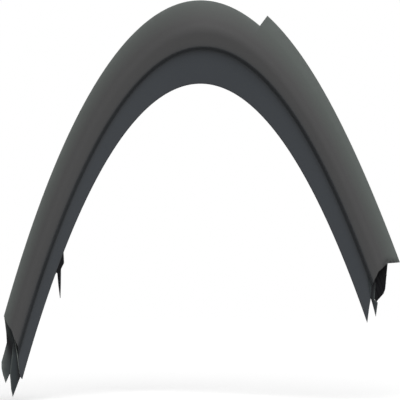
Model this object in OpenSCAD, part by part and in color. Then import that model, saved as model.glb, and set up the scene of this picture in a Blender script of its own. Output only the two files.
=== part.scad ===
// Wheel arch trim: one injection-moulded strip that runs round a wheel opening.
// X runs along the car, Y points into the body side and Z is up.
// The body side is the plane Y = 0, and the origin is the mouth of the screw boss at the crown.

/* [Arch] */
// Height from the tip of the left foot to the crown
arch_h = 775.5; // [420:0.5:820]
// Reach of the outer edge to the left of the centre, at the level of the tip
left_reach = 425.5; // [380:0.5:450]
// Reach of the outer edge to the right of the centre, at the level of the tip
right_reach = 481; // [430:1:500]
// Straightness of the outer edge's legs, from a plain parabola at 0
outer_bow = 0.126; // [0:0.002:0.2]
// Straightness of the crease's legs
crease_bow = 0.082; // [0:0.002:0.2]
// Straightness of the inner edge's legs
inner_bow = 0.084; // [0:0.002:0.2]

/* [Face] */
// Width of the face at the crown
face_w = 92; // [75:1:115]
// Width of the face across the left foot, measured level
face_w_left = 42; // [38:0.5:60]
// Width of the face across the right foot, measured level
face_w_right = 72; // [55:1:85]
// Shift of the crease to the right of the centre
crease_shift = 5; // [0:0.5:8]
// Distance from the crease to the crest, as a share of the face's width
crest_share = 0.38; // [0.3:0.01:0.5]
// Tilt of the face between the crest and the outer edge
face_tilt = 22; // [10:1:28]
// Turn-in of the face between the crest and the crease
lower_tilt = 8; // [0:1:15]
// Swell of the face between the crest and the outer edge
face_swell = 2; // [0:0.1:3]
// Extra width of the face at the step
skirt_w = 26; // [8:0.5:30]
// Extra width of the face at the right end
skirt_end_w = 6; // [2:0.5:16]
// Place of the step to the right of the centre, measured at the crease
step_x = 78; // [50:1:140]

/* [Band] */
// Width of the inner band at the crown
band_w = 71; // [50:1:80]
// Width of the inner band across the left foot, measured level
band_w_left = 25.5; // [18:0.5:32]
// Width of the inner band across the right foot, measured level
band_w_right = 36.5; // [26:0.5:45]
// Depth of the return wall between the crease and the band
wall_d = 16; // [8:1:20]
// Lean of the return wall towards the opening
wall_lean = 5; // [1:0.5:6]
// Backward tilt of the band towards its inner edge
band_tilt = 10; // [0:1:14]

/* [Moulding] */
// Thickness of the sheet
sheet_t = 3; // [2.4:0.1:3.6]
// Distance of the outer edge in front of the body side
edge_d = 24; // [20:1:30]
// Gap between the outer lip and the body side
lip_gap = 4; // [2:0.5:8]
// Radius of the outer edge
edge_r = 8; // [4:0.5:9]
// Radius of the crease
crease_r = 3.5; // [3.2:0.1:6]
// Radius at the root of the return wall
root_r = 3; // [1:0.5:5]
// Thickness of the ribs
rib_t = 2.2; // [1.6:0.1:3]
// Gap between the ribs and the body side
rib_gap = 7; // [6:0.5:10]

/* [Fixings] */
// Diameter of the hole in each clip seat
clip_hole_d = 8.2; // [6:0.1:10]
// Thickness of each clip seat
clip_seat_t = 2.5; // [2:0.1:3.5]
// Gap between each clip seat and the body side
clip_seat_gap = 1.5; // [0.5:0.1:3]
// Width of each clip tower along the arch
tower_w = 26; // [22:1:32]
// Outer diameter of each screw boss
boss_d = 12; // [9:0.5:14]
// Diameter of the screw hole in each boss
screw_d = 4.2; // [3:0.1:5]
// Depth of the screw hole in each boss on the legs
screw_depth = 9; // [6:0.5:10]
// Depth of the screw hole in the boss at the crown
crown_screw_depth = 12; // [11:0.5:14]

/* [Ends] */
// Height of the crease's left end above the tip
left_end_h = 99; // [90:1:140]
// Height of the crease's right end above the tip
right_end_h = 216; // [160:1:260]
// Thickness of the tongues at the two ends
tongue_t = 2.6; // [2:0.1:3.5]
// Height of the ribs on the front of the right panel
panel_rib_h = 1; // [0.4:0.1:1.5]
// Height of the locating blade on the left leg above the tip
blade_h = 262; // [220:1:330]
// Depth of the locating blade, front to back
blade_d = 26; // [16:1:34]

/* [Hidden] */
trim_colour = [0.27, 0.28, 0.29];

// Level of the tip below the origin, which lies half way across the band at the crown
foot_z = face_w + band_w / 2 - arch_h;

// The outer edge, the crease and the inner edge: centre, crown, fall, left reach, right reach, bow
outer_edge = [0, foot_z + arch_h, arch_h, left_reach, right_reach, outer_bow];
crease = [
    crease_shift,
    outer_edge[1] - face_w,
    arch_h - face_w,
    left_reach - face_w_left + crease_shift,
    right_reach - face_w_right - crease_shift,
    crease_bow
];
inner_edge = [
    0,
    crease[1] - band_w,
    crease[2] - band_w,
    left_reach - face_w_left - band_w_left,
    right_reach - face_w_right - band_w_right,
    inner_bow
];

// How far the sheet runs past the crease's end, by distance outwards from the crease
left_cut = [[-24, 58], [-19.5, 54], [-13.5, 39], [-5.5, 17], [-0.5, 0], [42, -50]];
right_cut = [[-37, 62], [-23, 35], [-13.5, 18], [-6, -1], [5, -14], [17.5, -26], [40, -35], [63, -28]];
cut_zone = 130;

// Stations along the crease, measured along X, with a close pair at the step
left_x = x_at(crease, -1, foot_z + left_end_h);
right_x = x_at(crease, 1, foot_z + right_end_h);
station_count = 56;
step_run = 0.6;
step_clear = 2;
even = [for (i = [0:station_count]) left_x + (right_x - left_x) * i / station_count];
stations = [
    for (x = even) if (x < step_x - step_clear) x,
    step_x - step_run,
    step_x + step_run,
    for (x = even) if (x > step_x + step_clear) x
];

// Steps on the curved corners of the section: outer edge, crest, crease and root
edge_points = 4;
crest_points = 3;
crease_points = 2;
root_points = 2;

// Length of the crest's blend on each side, and the most that a corner takes of its side
crest_blend = 14;
corner_share = 0.45;

// Points on the swollen zone of the face, as shares of its width from the outer edge
swell_places = [0.3, 0.6];

// Places along the arch, as shares of each leg from -1 at the left end to 1 at the right end
tower_places = [-0.86, -0.58, -0.26, 0.3, 0.6, 0.86];
boss_places = [-0.72, -0.42, 0.46, 0.8];
rib_places = [-0.94, -0.72, -0.42, -0.1, 0.1, 0.46, 0.74, 0.93];

// Length of a clip tower across the face
tower_l = 22;
// Distance of a rib's free corner outwards from the crease
rib_set_in = 12;
// Depth that a tongue sinks into the back of the sheet
seat_in = 1.2;
// Length and width of the ribs on the right panel, and their distances outwards from the crease
panel_rib_l = 130;
panel_rib_w = 1.4;
panel_rib_places = [2, 9, 16, 23, 30];
// Set-back of the left leaf behind the outer lip
leaf_back = 4;
// Overrun of a hole past the surface that it opens
overrun = 1;

// Outlines of the tongues: distance down the leg from the crease's end, distance outwards
left_leaf = [
    [-63, 15], [-63, 40], [-51, 41.5], [-39.5, 38.5], [-19, 30], [-1, 23], [19, 23.5],
    [38, 23.5], [50, 20], [61, 14], [76, 4], [54, 1], [17, 3.5], [-1, 8], [-31, 8]
];
left_spike = [
    [-41, -18], [-41, 11], [0, 11], [21, 7], [55, 1.5], [98, -17], [72, -19],
    [54.5, -20.5], [19, -17.5]
];
right_panel = [[-61, -9], [-61, 43], [-37, 42], [-31, 38.5], [11, 19], [18.5, 13], [29.5, -6.5], [0, -10.5]];
right_spike = [[-25, -6], [-25, 3], [-5, 5], [31.5, -4], [56.5, -17], [34.5, -15], [17.5, -14]];

// Outline of the locating blade from the inner edge: distance along X, height
blade_front = [
    [-12, -9], [-2.5, 27], [7, 21], [8, 0], [2, -12], [1.6, -43], [0.8, -69],
    [-2.5, -43], [-4.5, -20], [-6.5, -18], [-12.5, -28]
];

// The arch lines

// Share of the fall that a line has made at x, before its bow
function share(l, x) = pow((x - l[0]) / reach(l, x), 2);
function reach(l, x) = x < l[0] ? l[3] : l[4];

// The right leg's bow keeps the curvature of both legs equal at the crown
function bow(l, x) = x < l[0] ? l[5] : 1 - (1 - l[5]) * pow(l[4] / l[3], 2);

// Height and slope of a line at x, and its x at a height
function height(l, x) = l[1] - l[2] * share(l, x) * (1 - bow(l, x) * (1 - share(l, x)));
function slope(l, x) =
    -2 * l[2] * (x - l[0]) / pow(reach(l, x), 2) * (1 - bow(l, x) * (1 - 2 * share(l, x)));
function x_at(l, side, z) =
    let (
        probe = l[0] + side,
        e = bow(l, probe),
        c = (l[1] - z) / l[2],
        q = 2 * c / (1 - e + sqrt(pow(1 - e, 2) + 4 * e * c))
    )
    l[0] + side * reach(l, probe) * sqrt(q);

// Angle of the crease at x
function lean(x) = atan(slope(crease, x));

// Distance from the crease to another line, square to the crease, by Newton's steps
first_guess = 50;
newton_steps = 6;
function across(l, x, side, d = first_guess, steps = newton_steps) =
    steps == 0 ? d :
    let (
        nx = -sin(lean(x)) * side,
        nz = cos(lean(x)) * side,
        miss = height(l, x + d * nx) - height(crease, x) - d * nz,
        rate = slope(l, x + d * nx) * nx - nz
    )
    across(l, x, side, d - miss / rate, steps - 1);

// Measures of the section at x: width of the face, extra width of the skirt, width of the band
function measures(x) = [across(outer_edge, x, 1), skirt_at(x), across(inner_edge, x, -1)];
function skirt_at(x) =
    let (
        past_step = min(max((x - step_x) / step_run / 2 + 0.5, 0), 1),
        along = (x - step_x) / (right_x - step_x)
    )
    past_step * (skirt_w + (skirt_end_w - skirt_w) * along);

// The section for measures m: points are [distance outwards from the crease, depth], front at minus Y

// Depths of the crest, the crease, the root of the wall and the band
function crest_y(m) = -edge_d - tan(face_tilt) * (1 - crest_share) * m[0];
function crease_y(m) = crest_y(m) + tan(lower_tilt) * crest_share * m[0];
function root_y(m) = crease_y(m) + wall_d;
function band_y(m, n) = root_y(m) + tan(band_tilt) * (-n - wall_lean);
function band_middle(m) = -(wall_lean + m[2]) / 2;

// Depth of the outer zone of the face, which swells between the crest and the outer edge
function face_y(m, n) =
    let (k = (m[0] - n) / (m[0] * (1 - crest_share)))
    -edge_d - tan(face_tilt) * (m[0] - n) - 4 * k * (1 - k) * face_swell;

// Front of the section as corners, from the back of the lip to the inner edge
function front_corners(m) =
    let (w = m[0], outer = w + m[1], crest = crest_share * w)
    [
        [outer, -lip_gap],
        [outer, face_y(m, outer)],
        for (k = swell_places) let (n = w - k * (w - crest)) [n, face_y(m, n)],
        [crest, face_y(m, crest)],
        [0, crease_y(m)],
        [-wall_lean, root_y(m)],
        for (n = [band_middle(m), -m[2]]) [n, band_y(m, n)]
    ];

function unit(v) = v / norm(v);
function inwards(d) = [d[1], -d[0]];

// Corners moved to the back of the sheet by a thickness, mitred
function moved(c, t) =
    [
        for (i = [0:len(c) - 1])
            let (
                a = inwards(unit(i == 0 ? c[1] - c[0] : c[i] - c[i - 1])),
                b = inwards(unit(i == len(c) - 1 ? c[i] - c[i - 1] : c[i + 1] - c[i]))
            )
            c[i] + (a + b) * t / (1 + a * b)
    ];

// A corner v between a and b, rounded by a curve that is tangent to both sides
function rounded(a, v, b, cut, count) =
    let (
        near = min(cut, corner_share * norm(v - a), corner_share * norm(b - v)),
        p = v - near * unit(v - a),
        q = v + near * unit(b - v)
    )
    [for (i = [0:count]) let (k = i / count) p * pow(1 - k, 2) + v * 2 * k * (1 - k) + q * k * k];

// Length that a radius takes off each side of a corner
function corner_cut(a, v, b, r) = r * tan(acos(unit(v - a) * unit(b - v)) / 2);
function filleted(a, v, b, r, count) = rounded(a, v, b, corner_cut(a, v, b, r), count);

// Lines of the section at a depth t inside the sheet: the face, and the root of the wall
function face_line(c, t) =
    [
        each filleted(c[0], c[1], c[2], edge_r - t, edge_points),
        c[2],
        c[3],
        each rounded(c[3], c[4], c[5], crest_blend, crest_points),
        each filleted(c[4], c[5], c[6], crease_r - t, crease_points)
    ];
function root_line(c, t) = filleted(c[5], c[6], c[7], root_r + t, root_points);
function skin_line(m, t) =
    let (c = moved(front_corners(m), t))
    [c[0], each face_line(c, t), each root_line(c, t), c[7], c[8]];

// Closed section of the sheet: the front, then the back in the other direction
function ring(m) =
    let (back = skin_line(m, sheet_t))
    concat(skin_line(m, 0), [for (i = [len(back) - 1:-1:0]) back[i]]);

// A section point set in space at station x
function in_space(x, p) =
    [x - sin(lean(x)) * p[0], p[1], height(crease, x) + cos(lean(x)) * p[0]];

// Station moved towards its end cut, so that the sheet ends on the slanted line
function to_cut(x, n) =
    let (
        run = cos(lean(x)),
        left_pull = max(1 - (x - left_x) / run / cut_zone, 0),
        right_pull = max(1 - (right_x - x) / run / cut_zone, 0)
    )
    x + (right_pull * lookup(n, right_cut) - left_pull * lookup(n, left_cut)) * run;

// Places a shape at station x: X along the crease, Z outwards
module at_station(x) {
    translate([x, 0, height(crease, x)]) rotate([0, -lean(x), 0]) children();
}

// Places a shape at an end of the crease: X down the leg, Z outwards
module at_end(side) {
    at_station(side < 0 ? left_x : right_x)
        mirror([side < 0 ? 1 : 0, 0, 0])
            children();
}

// Station at a share of a leg, from -1 at the left end to 1 at the right end
function place_x(k) = crease[0] + abs(k) * ((k < 0 ? left_x : right_x) - crease[0]);

// The sheet: its section carried along the crease, widening and narrowing with the arch lines
module sheet() {
    count = len(ring(measures(0)));
    half = count / 2;
    last = (len(stations) - 1) * count;
    points = [
        for (x = stations)
            let (own = ring(measures(x)))
                for (j = [0:count - 1])
                    let (v = to_cut(x, own[j][0]))
                        v == x ? in_space(x, own[j]) : in_space(v, ring(measures(v))[j])
    ];
    sides = [
        for (i = [0:len(stations) - 2])
            for (j = [0:count - 1])
                let (a = i * count + j, b = i * count + (j + 1) % count)
                    each [[a, b + count, b], [a, a + count, b + count]]
    ];
    ends = [
        for (j = [0:half - 2])
            let (k = count - 1 - j)
                each [
                    [j, j + 1, k],
                    [j + 1, k - 1, k],
                    [last + j, last + k, last + j + 1],
                    [last + j + 1, last + k, last + k - 1]
                ]
    ];
    polyhedron(points = points, faces = concat(sides, ends), convexity = 10);
}

// Extrudes an outline of [depth, distance outwards] along the crease, centred on the station
module along(thickness) {
    rotate([90, 0, 90]) linear_extrude(height = thickness, center = true) children();
}

// Extrudes an outline of [along, outwards] to the front, from a depth
module plate(depth, thickness) {
    translate([0, depth, 0]) rotate([90, 0, 0]) linear_extrude(height = thickness) children();
}

// A cylinder that runs to the front from a depth
module pin(diameter, depth, length) {
    translate([0, depth, 0]) rotate([90, 0, 0]) cylinder(d = diameter, h = length, $fn = 48);
}

// A cross rib from the lip to the root of the return wall
module rib(x) {
    m = measures(x);
    middle = moved(front_corners(m), sheet_t / 2);
    points = [
        [m[0] + m[1] - sheet_t / 2, -rib_gap],
        each face_line(middle, sheet_t / 2),
        each root_line(middle, sheet_t / 2),
        [rib_set_in, -rib_gap]
    ];
    at_station(x) along(rib_t) polygon([for (p = points) [p[1], p[0]]]);
}

// A clip tower: two walls off the back of the face that carry a seat with a hole
module clip_tower(x) {
    m = measures(x);
    middle = face_line(moved(front_corners(m), sheet_t / 2), sheet_t / 2);
    low = (m[0] - tower_l) / 2;
    seat_y = -clip_seat_gap - clip_seat_t;
    wall = [
        for (k = [0:0.25:1]) [lookup(low + k * tower_l, middle), low + k * tower_l],
        [seat_y + clip_seat_t / 2, low + tower_l],
        [seat_y + clip_seat_t / 2, low]
    ];
    at_station(x) {
        for (side = [-1, 1])
            translate([side * (tower_w - rib_t) / 2, 0, 0]) along(rib_t) polygon(wall);
        translate([-tower_w / 2, seat_y, low]) cube([tower_w, clip_seat_t, tower_l]);
    }
}

module clip_hole(x) {
    at_station(x)
        translate([0, 0, measures(x)[0] / 2])
            pin(clip_hole_d, overrun, clip_seat_gap + clip_seat_t + 2 * overrun);
}

// A screw boss on the back of the band, whose mouth lies on the body side
module screw_boss(x) {
    m = measures(x);
    at_station(x)
        translate([0, 0, band_middle(m)])
            pin(boss_d, 0, -band_y(m, band_middle(m)) - sheet_t / 2);
}

module screw_hole(x) {
    at_station(x)
        translate([0, 0, band_middle(measures(x))])
            pin(screw_d, overrun, screw_depth + overrun);
}

// The boss at the crown, square below the middle of the outer edge
module crown_boss() {
    pin(boss_d, 0, -band_y(measures(0), -band_w / 2) - sheet_t / 2);
}

module crown_hole() {
    pin(screw_d, overrun, crown_screw_depth + overrun);
}

// Tongues that run on past the cut ends
module tongues() {
    left_back = root_y(measures(left_x)) + sheet_t;
    right_back = root_y(measures(right_x)) + sheet_t;
    at_end(-1) {
        plate(-lip_gap - leaf_back, tongue_t) polygon(left_leaf);
        plate(left_back + tongue_t - seat_in, tongue_t) polygon(left_spike);
    }
    at_end(1) {
        plate(right_back + tongue_t - seat_in, tongue_t) polygon(right_panel);
        plate(right_back, panel_rib_h + seat_in)
            intersection() {
                polygon(right_panel);
                for (n = panel_rib_places)
                    translate([0, n]) square([panel_rib_l, panel_rib_w], center = true);
            }
        plate(right_back - seat_in, tongue_t) polygon(right_spike);
    }
}

// The blade that hangs beside the left leg and reaches back through the body side
module locating_blade() {
    z = foot_z + blade_h;
    m = measures(x_at(crease, -1, z));
    translate([x_at(inner_edge, -1, z), 0, z])
        plate(band_y(m, -m[2]) + blade_d, blade_d)
            polygon(blade_front);
}

module arch_trim() {
    color(trim_colour)
        difference() {
            union() {
                sheet();
                for (k = rib_places) rib(place_x(k));
                for (k = tower_places) clip_tower(place_x(k));
                for (k = boss_places) screw_boss(place_x(k));
                crown_boss();
                tongues();
                locating_blade();
            }
            for (k = tower_places) clip_hole(place_x(k));
            for (k = boss_places) screw_hole(place_x(k));
            crown_hole();
        }
}

arch_trim();
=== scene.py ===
"""Looks of the wheel arch trim: one charcoal moulding with a grained face and a smoother reverse."""
import math

import bmesh
import bpy
import numpy as np
from bpy.props import FloatProperty, FloatVectorProperty, IntProperty, PointerProperty
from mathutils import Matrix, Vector


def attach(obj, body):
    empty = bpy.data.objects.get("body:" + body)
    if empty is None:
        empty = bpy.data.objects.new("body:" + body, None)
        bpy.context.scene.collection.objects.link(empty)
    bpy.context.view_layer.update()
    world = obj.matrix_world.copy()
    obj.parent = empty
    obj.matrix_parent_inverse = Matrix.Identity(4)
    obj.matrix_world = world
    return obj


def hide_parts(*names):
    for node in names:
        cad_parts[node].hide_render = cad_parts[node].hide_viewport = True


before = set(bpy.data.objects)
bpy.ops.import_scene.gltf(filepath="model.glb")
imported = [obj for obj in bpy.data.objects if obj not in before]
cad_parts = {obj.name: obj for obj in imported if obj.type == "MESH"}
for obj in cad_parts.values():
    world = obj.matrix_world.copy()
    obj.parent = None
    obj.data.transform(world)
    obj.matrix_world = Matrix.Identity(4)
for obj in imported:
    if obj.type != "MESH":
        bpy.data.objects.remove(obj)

bl_info = {
    "name": "Wheel arch trim",
    "version": (1, 0, 0),
    "blender": (4, 5, 0),
    "location": "3D View > Sidebar > Arch trim",
    "description": "Builds the moulded trim of a wheel arch, its finish and its stage",
    "category": "Object",
}

NODE = "arch_trim"
BODY = "root"
DEPTH_AXIS = np.array([0.0, 1.0, 0.0])


# Kinds of property

def length(name, text, default):
    """A size in metres."""
    return FloatProperty(name=name, description=text, default=default, unit="LENGTH", precision=4)


def share(name, text, default):
    """A number without a unit."""
    return FloatProperty(name=name, description=text, default=default, precision=3)


def angle(name, text, degrees):
    """An angle, given in degrees and kept in radians."""
    return FloatProperty(name=name, description=text, default=math.radians(degrees), unit="ROTATION")


def colour(name, text, default):
    """A colour in linear light."""
    return FloatVectorProperty(
        name=name, description=text, default=default, subtype="COLOR", size=3, min=0, max=1
    )


class ArchSizes(bpy.types.PropertyGroup):
    """Lines of the arch: outer edge, crease and inner edge."""

    height: length("Height", "From the tip of the left foot to the crown", 0.7755)
    left_reach: length("Left reach", "Outer edge left of the centre, at the tip's level", 0.4255)
    right_reach: length("Right reach", "Outer edge right of the centre, at the tip's level", 0.481)
    outer_bow: share("Outer bow", "Straightness of the outer edge's legs", 0.126)
    crease_bow: share("Crease bow", "Straightness of the crease's legs", 0.082)
    inner_bow: share("Inner bow", "Straightness of the inner edge's legs", 0.084)
    crease_shift: length("Crease shift", "Crease to the right of the centre", 0.005)
    left_end: length("Left end", "Height of the crease's left end above the tip", 0.099)
    right_end: length("Right end", "Height of the crease's right end above the tip", 0.216)


class FaceSizes(bpy.types.PropertyGroup):
    """Section of the face and its step."""

    width: length("Width", "Width at the crown", 0.092)
    width_left: length("Left width", "Level width across the left foot", 0.042)
    width_right: length("Right width", "Level width across the right foot", 0.072)
    crest: share("Crest", "Distance from crease to crest, as a share of the width", 0.38)
    tilt: angle("Tilt", "Tilt between the crest and the outer edge", 22)
    lower_tilt: angle("Lower tilt", "Turn-in between the crest and the crease", 8)
    swell: length("Swell", "Swell between the crest and the outer edge", 0.002)
    skirt: length("Skirt", "Extra width at the step", 0.026)
    skirt_end: length("Skirt at the end", "Extra width at the right end", 0.006)
    step_x: length("Step", "Place of the step to the right of the centre", 0.078)


class BandSizes(bpy.types.PropertyGroup):
    """Section of the return wall and the band."""

    width: length("Width", "Width at the crown", 0.071)
    width_left: length("Left width", "Level width across the left foot", 0.0255)
    width_right: length("Right width", "Level width across the right foot", 0.0365)
    wall: length("Wall depth", "Depth between the crease and the band", 0.016)
    wall_lean: length("Wall lean", "Lean of the wall towards the opening", 0.005)
    tilt: angle("Tilt", "Backward tilt towards the inner edge", 10)


class SheetSizes(bpy.types.PropertyGroup):
    """Thickness, radii and places in depth."""

    thickness: length("Thickness", "Thickness of the sheet", 0.003)
    edge_depth: length("Edge depth", "Outer edge in front of the body side", 0.024)
    lip_gap: length("Lip gap", "Outer lip to the body side", 0.004)
    edge_radius: length("Edge radius", "Radius of the outer edge", 0.008)
    crease_radius: length("Crease radius", "Radius of the crease", 0.0035)
    root_radius: length("Root radius", "Radius at the root of the wall", 0.003)
    crest_blend: length("Crest blend", "Length of the crest's blend on each side", 0.014)
    cut_zone: length("Cut zone", "Length over which stations lean to the end cuts", 0.13)
    rim_radius: length("Rim radius", "Rounding of the free rims of the sheet", 0.0011)
    stations: IntProperty(name="Stations", description="Sections along the arch", default=330, min=60)


class FixingSizes(bpy.types.PropertyGroup):
    """Ribs, clip towers, screw bosses, tongues and blade behind the trim."""

    rib: length("Rib thickness", "Thickness of the ribs and the tower walls", 0.0022)
    rib_gap: length("Rib gap", "Ribs to the body side", 0.007)
    rib_set_in: length("Rib set-in", "Free corner of a rib outwards from the crease", 0.012)
    seat_hole: length("Seat hole", "Diameter of the hole in each clip seat", 0.0082)
    seat: length("Seat", "Thickness of each clip seat", 0.0025)
    seat_gap: length("Seat gap", "Clip seats to the body side", 0.0015)
    tower_width: length("Tower width", "Width of a clip tower along the arch", 0.026)
    tower_length: length("Tower length", "Length of a clip tower across the face", 0.022)
    boss: length("Boss", "Outer diameter of each screw boss", 0.012)
    screw: length("Screw hole", "Diameter of each screw hole", 0.0042)
    screw_depth: length("Screw depth", "Depth of the screw holes on the legs", 0.009)
    crown_depth: length("Crown depth", "Depth of the screw hole at the crown", 0.012)
    tongue: length("Tongue thickness", "Thickness of the tongues at the ends", 0.0026)
    tongue_seat: length("Tongue seat", "Depth that a tongue sinks into the sheet", 0.0012)
    leaf_back: length("Leaf set-back", "Left leaf behind the outer lip", 0.004)
    spike_back: length("Spike set-back", "Left spike behind its seat in the band", 0.001)
    panel_rib: length("Panel rib", "Height of the ribs on the right panel", 0.001)
    panel_rib_width: length("Panel rib width", "Width of the ribs on the right panel", 0.0014)
    blade_height: length("Blade height", "Height of the blade above the tip", 0.262)
    blade: length("Blade depth", "Depth of the blade, front to back", 0.026)
    bevel: length("Bevel", "Bevel on the free edges behind the trim", 0.0004)


class Finish(bpy.types.PropertyGroup):
    """Colours and surface of the moulding."""

    face: colour("Face", "Grained face near the crease", (0.037, 0.0368, 0.0372))
    # Painted highlight: the outer zone of the face is painted lighter where it turns towards the light.
    bleached: colour("Bleached", "Face greyed by the sun near the outer edge", (0.069, 0.078, 0.073))
    # Painted shade: the band is painted darker and bluish than the face, for the shade of the recessed
    # band.
    band: colour("Band", "Smoother band below the crease", (0.025, 0.029, 0.034))
    # Painted shade in the crease next to the wall and along the inner rim, where shade falls.
    painted_shade: colour("Recess", "Root of the wall and rim of the inner edge", (0.016, 0.018, 0.020))
    # Edge colour: partly rubbed plastic, partly a painted highlight along the lit edges.
    worn: colour("Worn edge", "Rubbed plastic along the edges", (0.115, 0.128, 0.122))
    reverse: colour("Reverse", "Smooth back of the moulding", (0.042, 0.043, 0.044))
    tongue: colour("Tongues", "Leaf and spikes at the ends", (0.024, 0.029, 0.031))
    # Painted shade: the panel and the blade are painted near-black for the shadow they lie in; the notches
    # at the right cut and the tongues next to the cuts darken to it.
    black: colour("Black", "Panel and blade, which take no light", (0.005, 0.005, 0.006))
    dust: colour("Dust", "Fine dust that settles on what faces up", (0.30, 0.29, 0.27))
    roughness: share("Roughness", "Roughness of the grained front", 0.58)
    smooth_roughness: share("Smooth roughness", "Roughness of the smooth reverse", 0.42)
    gloss: share("Gloss", "Strength of the mirror-like part of the light", 0.3)
    tongue_gloss: share("Tongue gloss", "The same for the leaf and the spikes", 0.12)
    black_gloss: share("Black gloss", "The same for the black panel and blade", 0.06)
    grain: length("Grain", "Size of one pit of the grain", 0.0012)
    # The amount, edge reach, tongue reach and leaf reach set the lighter edges: rubbing and a painted
    # highlight.
    wear: share("Wear", "Amount of rubbing along the edges", 0.6)
    edge_reach: length("Edge reach", "How far the rubbing runs in from an edge", 0.006)
    tongue_reach: length("Tongue reach", "The same on the spikes and the panel", 0.0012)
    leaf_reach: length("Leaf reach", "How far the light tone runs in on the left leaf", 0.0065)
    # Crease reach spreads the painted shade of the crease; shade reach and leaf shade place the painted
    # shade on the tongues.
    crease_reach: length("Crease reach", "How far the dark of the crease runs out", 0.003)
    shade_reach: length("Shade reach", "How far the dark runs along the tongues", 0.017)
    leaf_shade: length("Leaf shade", "Darkest line of the left leaf, below the cut", 0.024)
    # Nick reach and nick pitch size the painted shade of notches along the right cut.
    nick_reach: length("Nick reach", "How far the nicks run up from the right cut", 0.007)
    nick_pitch: length("Nick pitch", "Distance between two nicks of the right cut", 0.0067)
    # Rim reach spreads the painted shade of the inner rim.
    rim_reach: length("Rim reach", "How far the dark of the inner rim runs in", 0.0015)


class StageSettings(bpy.types.PropertyGroup):
    """Floor, world, lamps and camera."""

    view_width: length("View width", "Width of the camera's view at the trim", 0.78)
    view_x: length("View centre", "Middle of the view along X", -0.001)
    view_z: length("View height", "Middle of the view along Z", -0.2625)
    view_y: length("View depth", "Plane that the view width is measured on", -0.030)
    lens: FloatProperty(name="Lens", description="Focal length", default=300, unit="CAMERA")
    floor_gap: length("Floor gap", "Floor below the tip of the foot", 0.012)
    floor_size: length("Floor size", "Side of the square floor", 9.0)
    floor_glow: share("Floor glow", "White that the camera sees besides the light on the floor", 0.42)
    key: share("Key lamp", "Strength of the key lamp", 2.72)
    key_softness: angle("Key softness", "Apparent size of the key lamp", 45)
    fill: share("Fill lamp", "Strength of the fill lamp", 0.05)
    fill_softness: angle("Fill softness", "Apparent size of the fill lamp", 60)
    ambient: share("Ambient", "Strength of the world on the object", 0.22)


# Places along the arch, as shares of each leg from -1 at the left end to 1 at the right end
TOWER_PLACES = (-0.86, -0.58, -0.26, 0.3, 0.6, 0.86)
BOSS_PLACES = (-0.72, -0.42, 0.46, 0.8)
RIB_PLACES = (-0.94, -0.72, -0.42, -0.1, 0.1, 0.46, 0.74, 0.93)


def in_mm(*pairs):
    """Pairs of millimetres as an array of metres."""
    return np.array(pairs) / 1000


# How far the sheet runs past the crease's end, by distance outwards from the crease
LEFT_CUT = in_mm(
    (-24, 58), (-19.5, 54), (-13.5, 39), (-5.5, 17), (-0.5, 0), (10.5, -13.5), (20.5, -28), (34, -39.5),
    (42, -50),
)
RIGHT_CUT = in_mm(
    (-37, 62), (-23, 35), (-13.5, 18), (-6, -1), (5, -14), (17.5, -26), (40, -35), (63, -28)
)

# Inner and outer edges of the tongues: distance down the leg from the crease's end, distance outwards
LEAF = (
    in_mm((-63, 15), (-31, 8), (-1, 8), (17, 3.5), (54, 1), (76, 4)),
    in_mm(
        (-63, 41), (-51, 43.3), (-45, 41.6), (-39.5, 39), (-19, 30.3), (-1, 24), (19, 23.5), (38, 23.5),
        (50, 20), (61, 14), (76, 4),
    ),
)
LEFT_SPIKE = (
    in_mm((-41, -18), (19, -17.5), (54.5, -20.5), (72, -19), (98, -17)),
    in_mm((-41, 11), (0, 11), (21, 7), (55, 1.5), (84, -9.5), (98, -17)),
)
PANEL = (
    in_mm((-61, -9), (0, -10.5), (29.5, -6.5)),
    in_mm((-61, 43), (-37, 42), (-31, 38.5), (11, 19), (18.5, 13), (29.5, -6.5)),
)
LEFT_RIM = (
    in_mm((-17, 13.2), (14, -3), (50, -17.3)),
    in_mm((-17, 14.2), (14, -1), (50, -16.7)),
)
RIGHT_SPIKE = (
    in_mm((-25, -6), (17.5, -14), (34.5, -15), (56.5, -17)),
    in_mm((-25, 3), (-6, 5), (6, -0.4), (24, -8), (27, -5.5), (31.5, -4), (56.5, -17)),
)
PANEL_RIBS = (0.002, 0.009, 0.016, 0.023, 0.030)

# Outline of the locating blade from the inner edge: distance along X, height
BLADE_FRONT = in_mm(
    (-12, -9), (-2.5, 27), (7, 21), (8, 0), (2, -12), (1.6, -43), (0.8, -69),
    (-2.5, -43), (-4.5, -20), (-6.5, -18), (-12.5, -28)
)

# Half the length of the step along the arch, and how many of it keep clear of other stations
STEP_RUN = 0.0006
STEP_ROOM = 1.5

# Steps on the curved corners and the flat runs of the section
SWELL_PLACES = np.linspace(0.04, 0.6, 10)
EDGE_STEPS, CREST_STEPS, CREASE_STEPS, ROOT_STEPS = 10, 14, 8, 8
LIP_RUNS, FACE_RUNS, WALL_RUNS, BAND_RUNS = 5, 14, 5, 16
RIM_STEPS = 3
CORNER_SHARE = 0.45
FINE_STATIONS = 4000
TOWER_STEPS = 12

# Share of the way across the band that stands for the wall in the sheet's marks
WALL_SHARE = 0.1

# Distance under which points are one, and the steps of a bevel
MERGE_DISTANCE = 1e-7
BEVEL_SEGMENTS = 2

# Plastic and its grain: pits against fine noise, and the fine noise's scale against the pits'
PLASTIC_IOR = 1.48
GRAIN_STRENGTH = 0.6
PIT_RANGE = (0.15, 0.6)
PIT_SHARE = 0.7
FINE_SCALE = 1.7

# Patterns per metre, the ranges of noise or marks that they use, and the least that they leave
BROAD_DRIFT, CLOSE_DRIFT = 7.0, 90.0
BROAD_SHARE = 0.6
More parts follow.
